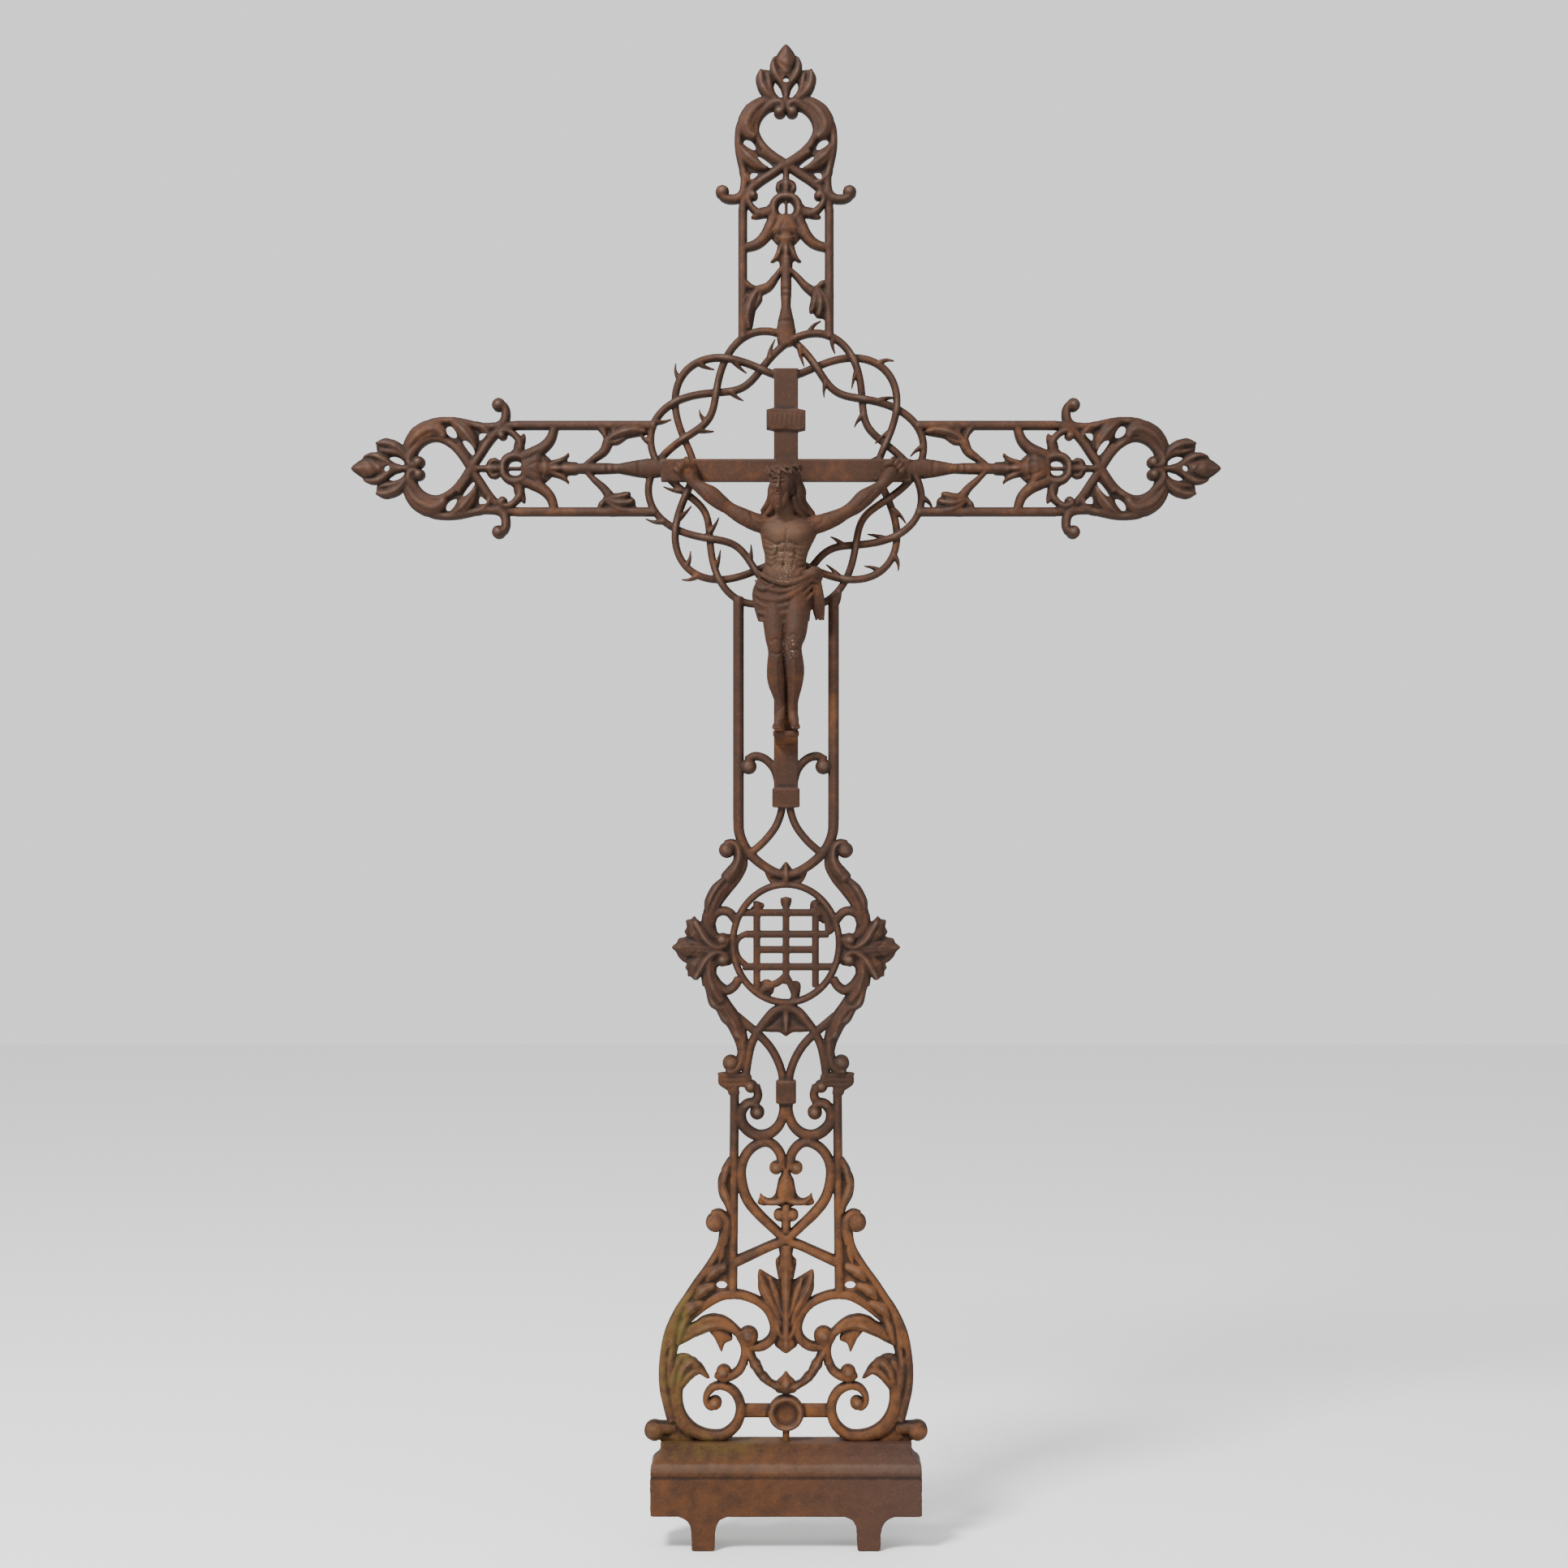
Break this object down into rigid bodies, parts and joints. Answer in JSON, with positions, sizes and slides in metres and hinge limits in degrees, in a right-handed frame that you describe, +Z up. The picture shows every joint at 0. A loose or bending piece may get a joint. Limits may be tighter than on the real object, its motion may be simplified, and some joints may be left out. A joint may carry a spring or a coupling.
{
  "type": "cast iron crucifix",
  "caption": "Openwork cast iron cross with scrolled arms, a woven crown of thorns, a figure, a lattice medallion and a moulded base with fixing tangs",
  "frame": {"origin": "on the underside of the base's front wall, in the middle, where the cross stands on its stone", "axes": "+Z up the shaft, the front with the figure faces -Y, +X to the viewer's right"},
  "size_m": [1.042, 0.0946, 1.796],
  "materials": {
    "cross_iron": "rusted sand-cast iron, brown to orange, with moss low on the left",
    "corpus_iron": "rusted cast iron, worn grey-brown on the high parts, with a few white specks of lime"
  },
  "bodies": {
    "root": {"cross": "cross_iron", "corpus": "corpus_iron"}
  },
  "joints": []
}
